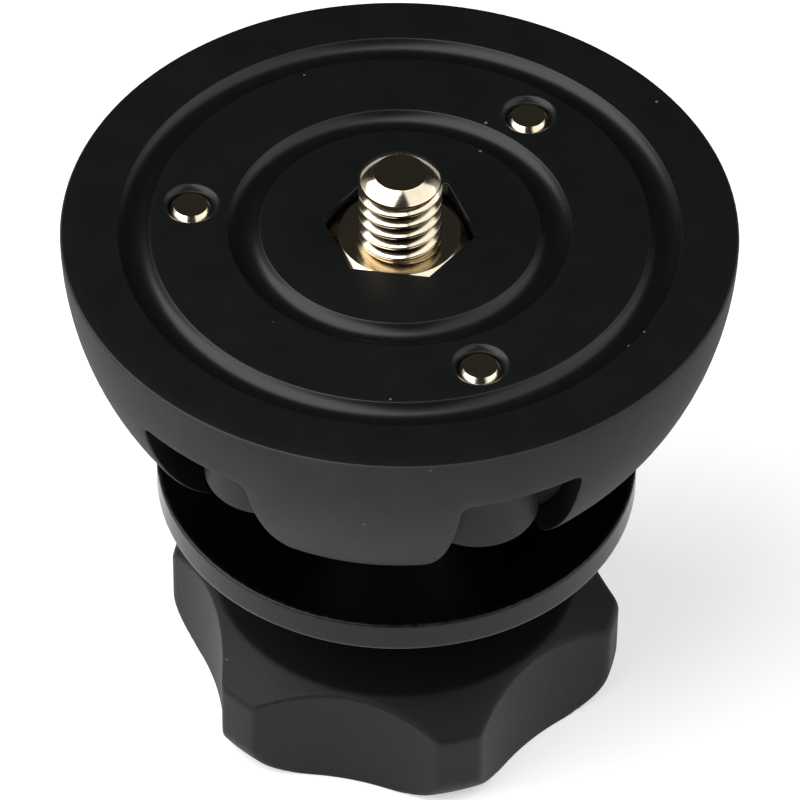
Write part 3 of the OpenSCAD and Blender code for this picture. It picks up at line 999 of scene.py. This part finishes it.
collar = [(COLLAR_CORE_R, RECESS_FOOT), (COLLAR_FLAT, RECESS_FOOT), (COLLAR_FLAT + PRESSED, RECESS_FOOT + PRESSED),
          (COLLAR_FLAT + PRESSED, COLLAR_TOP - PRESSED), (COLLAR_FACE_R, COLLAR_TOP), (COLLAR_CORE_R, COLLAR_TOP)]
stud = turned_hex(collar, COLLAR_FLAT, COLLAR_FACE_R, COLLAR_TOP, None)
threaded(stud, STUD_R, STUD_ROOT_R, STUD_PITCH, COLLAR_TOP - SUNK, THREAD_TOP, THREAD_TURN, TURNED_STEPS, RUN_OUT)
end_turns = [radians(a) for a in evenly(END_SLOPES[1], END_SLOPES[0], 10)]
brink_turn = end_turns[-1]
END_R = STUD_END / (cos(brink_turn) - cos(end_turns[0]))
end_outline = [(STUD_FLAT_R + END_R * (sin(a) - sin(brink_turn)), STUD_TOP - END_R * (cos(brink_turn) - cos(a)))
               for a in end_turns]
end_foot = [(0, THREAD_TOP - SUNK), (end_outline[0][0] - 0.02, THREAD_TOP - SUNK)]
end_face = [(STUD_FLAT_R - 0.1, STUD_TOP), (0, STUD_TOP)]
add_mesh(stud, spin(end_foot + end_outline + end_face, closed=False))
threaded(stud, ROD_R, ROD_ROOT_R, ROD_PITCH, ROD_FOOT, RECESS_FOOT + 0.5, 0, ROD_STEPS)
to_piece(stud, "threaded_stud", nickel, "centre_stud", sharp=FINE_SHARP)

# %% [markdown]
# A washer and a thin nut clamp the stud in the plate from below, out of sight in most views. They are still
# turned and chamfered, because the windows show them from the side.

# %% Stud washer and nut
NUT_LOW, NUT_HIGH = (corner.z for corner in span("stud_nut"))
NUT_FLAT = span("stud_nut")[1].y
NUT_BORE_R = ROD_R + 0.02
NUT_LEAD = 0.4


def ring_outline(inner_r, outer_r, low, high, edge):
    """A rectangle with rounded corners."""
    return broken([(inner_r, low), (outer_r, low), (outer_r, high), (inner_r, high)], edge)


def washer(node, name, material, inner_r, edge=0.15):
    """A flat turned ring in the place of a solid."""
    low, high = span(node)
    ring = ring_outline(inner_r, high.x, low.z, high.z, edge)
    to_piece(spin(held(ring)), name, material, node)


washer("stud_washer", "plate_washer", zinc, ROD_HOLE_R)
nut_outline = [(NUT_BORE_R, NUT_LOW + NUT_LEAD), (NUT_BORE_R + NUT_LEAD, NUT_LOW), (NUT_FLAT, NUT_LOW),
               (NUT_FLAT + PRESSED, NUT_LOW + PRESSED), (NUT_FLAT + PRESSED, NUT_HIGH - PRESSED), (NUT_FLAT, NUT_HIGH),
               (NUT_BORE_R + NUT_LEAD, NUT_HIGH), (NUT_BORE_R, NUT_HIGH - NUT_LEAD)]
nut = turned_hex(nut_outline, NUT_FLAT, NUT_FLAT, NUT_HIGH, NUT_LOW)
to_piece(nut, "thin_nut", zinc, "stud_nut", sharp=FINE_SHARP)

# %% [markdown]
# Three set screws come up through the plate and press against the camera head, so that it can't unscrew.
# Each has a flat point with a bright chamfer, a short thread and a key socket. One function makes a screw
# on the axis, and its points are then moved to their place.

# %% Locking screws
SCREW_R = 2.5
SCREW_ROOT_R = 2.08
SCREW_PITCH = 0.8
SCREW_STEPS = 48
POINT_R = 1.88
SOCKET_FLAT = 1.25
SOCKET_DEPTH = 3.0
FOOT_LEAD = 0.3


def locking_screw(number, turn):
    """A set screw with its point up, in the place of a solid."""
    node = f"locking_screw_{number}"
    low, high = span(node)
    shoulder = high.z - (SCREW_R - POINT_R)
    roof = low.z + SOCKET_DEPTH
    screw = bmesh.new()
    threaded(screw, SCREW_R, SCREW_ROOT_R, SCREW_PITCH, roof + 0.3, shoulder, 0, SCREW_STEPS)
    point = [(0, shoulder - 0.2), (SCREW_R - 0.06, shoulder - 0.2), (SCREW_R - 0.05, shoulder),
             (POINT_R, high.z), (0, high.z)]
    add_mesh(screw, spin(point, SCREW_STEPS, closed=False))
    foot = [(SOCKET_FLAT, low.z), (SCREW_R - FOOT_LEAD, low.z), (SCREW_R, low.z + FOOT_LEAD),
            (SCREW_R, roof + 0.4), (0, roof + 0.4), (0, roof), (SOCKET_FLAT, roof)]
    key_end = spin(foot, SCREW_STEPS)
    press_socket(key_end, SOCKET_FLAT)
    add_mesh(screw, key_end)
    bmesh.ops.translate(screw, verts=screw.verts, vec=polar(SCREW_CIRCLE_R, turn))
    to_piece(screw, f"set_screw_{number}", nickel, node, sharp=FINE_SHARP)


for i, turn in enumerate(SCREW_TURNS):
    locking_screw(i + 1, turn)

# %% [markdown]
# The knob pulls the clamp disc up against the tripod's bowl. The disc is a plain turned ring in a glossier black than
# the casting, with its colour near zero as painted shade for the shadow under the ball. A nylon sleeve and a nylon
# slip washer let it stand still while the knob turns.
# The washer's function makes all three.

# %% Clamp disc, sleeve and slip washer
SPIGOT_R = 7.0
SLEEVE_R = SPIGOT_R + 0.05
FIT = 0.02

washer("clamp_disc", "disc_plate", disc_black, span("disc_bush")[1].x + FIT, 0.3)
washer("disc_bush", "disc_sleeve", nylon, SLEEVE_R, 0.2)
washer("thrust_washer", "slip_washer", nylon, SLEEVE_R, 0.12)

# %% [markdown]
# A spring clip sits in a groove of the brass insert and keeps the disc on it. The real one is stamped from
# spring steel. Here a ring is spun, the faces of its gap are deleted, and the two ends are closed.

# %% Spring clip
CLIP_R = 6.52
CLIP_OUTER_R = CLIP_R + 2.6
CLIP_GAP = 6.0
CLIP_EDGE = 0.12
CLIP_LOW, CLIP_HIGH = (corner.z for corner in span("retaining_ring"))
KNOB_TURN = Matrix.Rotation(radians(-5.3), 3, "Z")

clip = spin(ring_outline(CLIP_R, CLIP_OUTER_R, CLIP_LOW, CLIP_HIGH, CLIP_EDGE))
half_gap = degrees(asin(CLIP_GAP / 2 / CLIP_OUTER_R))
gap_faces = [f for f in clip.faces if abs(turn_of(f.calc_center_median())) < half_gap]
bmesh.ops.delete(clip, geom=gap_faces, context="FACES")
bmesh.ops.holes_fill(clip, edges=[e for e in clip.edges if e.is_boundary])
bmesh.ops.rotate(clip, verts=clip.verts, matrix=KNOB_TURN)
to_piece(clip, "spring_clip", zinc, "retaining_ring")

# %% [markdown]
# The knob is moulded plastic with six lobes. It starts as a round body with a neck, a flat top, a sloping
# shoulder and an upright wall with a large radius below. It is spun with many columns, because the next
# cell moves them, and coarse ones would show as flats.

# %% Knob: outline
KNOB_LOW, KNOB_HIGH = (corner.z for corner in span("knob_body"))
KNOB_R = 26.4
KNOB_TOP = KNOB_LOW + 14.4
KNOB_TOP_R = 21.2
SLOPE_FOOT = KNOB_TOP - 2.9
SHOULDER_ROUND = 1.6
BRINK_ROUND = 1.3
LOBE_END_R = 4.7
LOBE_END_H = 4.55
FOOT_EDGE = 0.3
FOOT_ROW = 18
NECK_R = 11.0
NECK_LEAD = 0.4
NECK_FLARE = 1.0
KNOB_COLUMNS = 432
INSERT_R = span("knob_insert")[1].x
INSERT_FOOT, INSERT_TOP = (corner.z for corner in span("knob_insert"))
CAP_R = span("knob_cap")[1].x + FIT
CAP_TOP = span("knob_cap")[1].z
CAP_LEAD = 0.2
HOLLOW_KNOB_R = 8.4


def foot_edge(z):
    """How far the small rounding at the very foot draws the wall in, at a height."""
    return FOOT_EDGE - sqrt(FOOT_EDGE ** 2 - max(0, FOOT_EDGE - (z - KNOB_LOW)) ** 2)


def lobe_end(z):
    """Radius of the lobes' rounded lower ends at a height."""
    return KNOB_R - LOBE_END_R + sqrt(LOBE_END_R ** 2 - (KNOB_LOW + LOBE_END_H - z) ** 2) - foot_edge(z)


shoulder, brink = (KNOB_TOP_R, KNOB_TOP), (KNOB_R, SLOPE_FOOT)
wall_foot = (KNOB_R, KNOB_LOW + LOBE_END_H)
top_turn = corner_arc((NECK_R, KNOB_TOP), shoulder, brink, SHOULDER_ROUND, 4)
wall_turn = corner_arc(shoulder, brink, wall_foot, BRINK_ROUND, 6)
wall = [(NECK_R - NECK_LEAD, KNOB_HIGH), (NECK_R, KNOB_HIGH - NECK_LEAD)]
wall += arc((NECK_R + NECK_FLARE, KNOB_TOP + NECK_FLARE), NECK_FLARE, 180, 270, 6)
wall += flat_rows(evenly(NECK_R + NECK_FLARE + 1, top_turn[0][0] - 1, 5), KNOB_TOP) + top_turn
wall += between(top_turn[-1], wall_turn[0], 14) + wall_turn + between(wall_turn[-1], wall_foot, 8)
wall += [(lobe_end(z), z) for z in evenly(wall_foot[1], KNOB_LOW + FOOT_EDGE, 14)]
wall += [(lobe_end(KNOB_LOW + h), KNOB_LOW + h) for h in (0.2, 0.1, 0.03, 0)]
inside = [(FOOT_ROW, KNOB_LOW), (CAP_R + CAP_LEAD, KNOB_LOW), (CAP_R, KNOB_LOW + CAP_LEAD), (CAP_R, CAP_TOP),
          (HOLLOW_KNOB_R, CAP_TOP), (HOLLOW_KNOB_R, INSERT_FOOT), (INSERT_R + FIT, INSERT_FOOT),
          (INSERT_R + FIT, KNOB_HIGH)]
knob = spin(wall + inside, KNOB_COLUMNS)
print("knob:", len(wall + inside), "rows")

# %% [markdown]
# Between the lobes an upright hollow takes a finger, and its edge on the sloping shoulder is a round arch.
# Each point is drawn in to the hollow if that is nearer to the axis. A boolean would leave a knife edge. A
# soft minimum rounds it, as a mould does.

# %% Knob: finger hollows
LOBES = 6
SCOOP_IN_R = 22.0
SCOOP_R = 30.0
SOFT = 0.5


def soft_min(a, b):
    """The smaller of two lengths, blended where they are close."""
    share = min(1, max(0, 0.5 + 0.5 * (b - a) / SOFT))
    return b + (a - b) * share - SOFT * share * (1 - share)


def scoop_radius(turn):
    """Distance from the axis to the finger hollow, at an angle from its middle in degrees."""
    middle = SCOOP_IN_R + SCOOP_R
    return middle * cos(radians(turn)) - sqrt(SCOOP_R ** 2 - (middle * sin(radians(turn))) ** 2)


for vert in knob.verts:
    r = off_axis(vert.co)
    if r < SCOOP_IN_R - SOFT - FOOT_EDGE:
        continue
    turn = turn_of(vert.co) % (360 / LOBES) - 180 / LOBES
    vert.co.xy *= soft_min(r, scoop_radius(turn) - foot_edge(vert.co.z)) / r
bmesh.ops.rotate(knob, verts=knob.verts, matrix=KNOB_TURN)
to_piece(knob, "knob_grip", knob_black, "knob_body")

# %% [markdown]
# The brass insert carries the rod's thread, because plastic would strip. Its upper end is the spigot that
# the disc turns on, with a groove for the clip. A cap closes the hollow from below, and an extra row near
# its rim keeps the edge mark there.

# %% Knob insert and cap
INSERT_BORE_R = ROD_R + 0.05
CLIP_GROOVE_R = 6.5
CLIP_GROOVE_TOP = CLIP_HIGH + 0.05
INSERT_EDGE = 0.15
CAP_EDGE = 0.3

insert_outline = [(INSERT_BORE_R, INSERT_FOOT), (INSERT_R, INSERT_FOOT), (INSERT_R, KNOB_HIGH), (SPIGOT_R, KNOB_HIGH),
                  (SPIGOT_R, CLIP_LOW), (CLIP_GROOVE_R, CLIP_LOW), (CLIP_GROOVE_R, CLIP_GROOVE_TOP),
                  (SPIGOT_R, CLIP_GROOVE_TOP), (SPIGOT_R, INSERT_TOP), (INSERT_BORE_R, INSERT_TOP)]
to_piece(spin(broken(insert_outline, INSERT_EDGE)), "brass_insert", brass, "knob_insert")

low, high = span("knob_cap")
cap_outline = [(0, low.z), (high.x - 2 * CAP_EDGE, low.z), (high.x - CAP_EDGE, low.z), (high.x, low.z + CAP_EDGE),
               (high.x, high.z), (0, high.z)]
to_piece(spin(cap_outline, closed=False), "knob_plug", knob_black, "knob_cap", sharp=50)

# %% [markdown]
# A washer and a screw with a key socket sit on the rod's end, so that the knob can't come off. The cap hides
# them. They are made all the same, because the pieces can be taken apart.

# %% Stop washer and screw
STOP_LOW, STOP_HIGH = (corner.z for corner in span("stop_screw"))
STOP_HEAD_R = span("stop_screw")[1].x
STOP_HEAD_TOP = span("stop_washer")[0].z
STOP_HEAD_LEAD = 0.3
STOP_SCREW_R = 2.5
STOP_POINT_LEAD = 0.5
STOP_SOCKET_FLAT = 1.5
STOP_SOCKET_ROOF = STOP_LOW + 1.2

washer("stop_washer", "stop_ring", zinc, STOP_SCREW_R + 0.05)
stop_outline = [(0, STOP_SOCKET_ROOF), (STOP_SOCKET_FLAT, STOP_SOCKET_ROOF), (STOP_SOCKET_FLAT, STOP_LOW),
                (STOP_HEAD_R - STOP_HEAD_LEAD, STOP_LOW), (STOP_HEAD_R, STOP_LOW + STOP_HEAD_LEAD),
                (STOP_HEAD_R, STOP_HEAD_TOP), (STOP_SCREW_R, STOP_HEAD_TOP),
                (STOP_SCREW_R, STOP_HIGH - STOP_POINT_LEAD), (STOP_SCREW_R - STOP_POINT_LEAD, STOP_HIGH),
                (0, STOP_HIGH)]
stop = spin(stop_outline, closed=False)
press_socket(stop, STOP_SOCKET_FLAT)
to_piece(stop, "stop_bolt", zinc, "stop_screw")
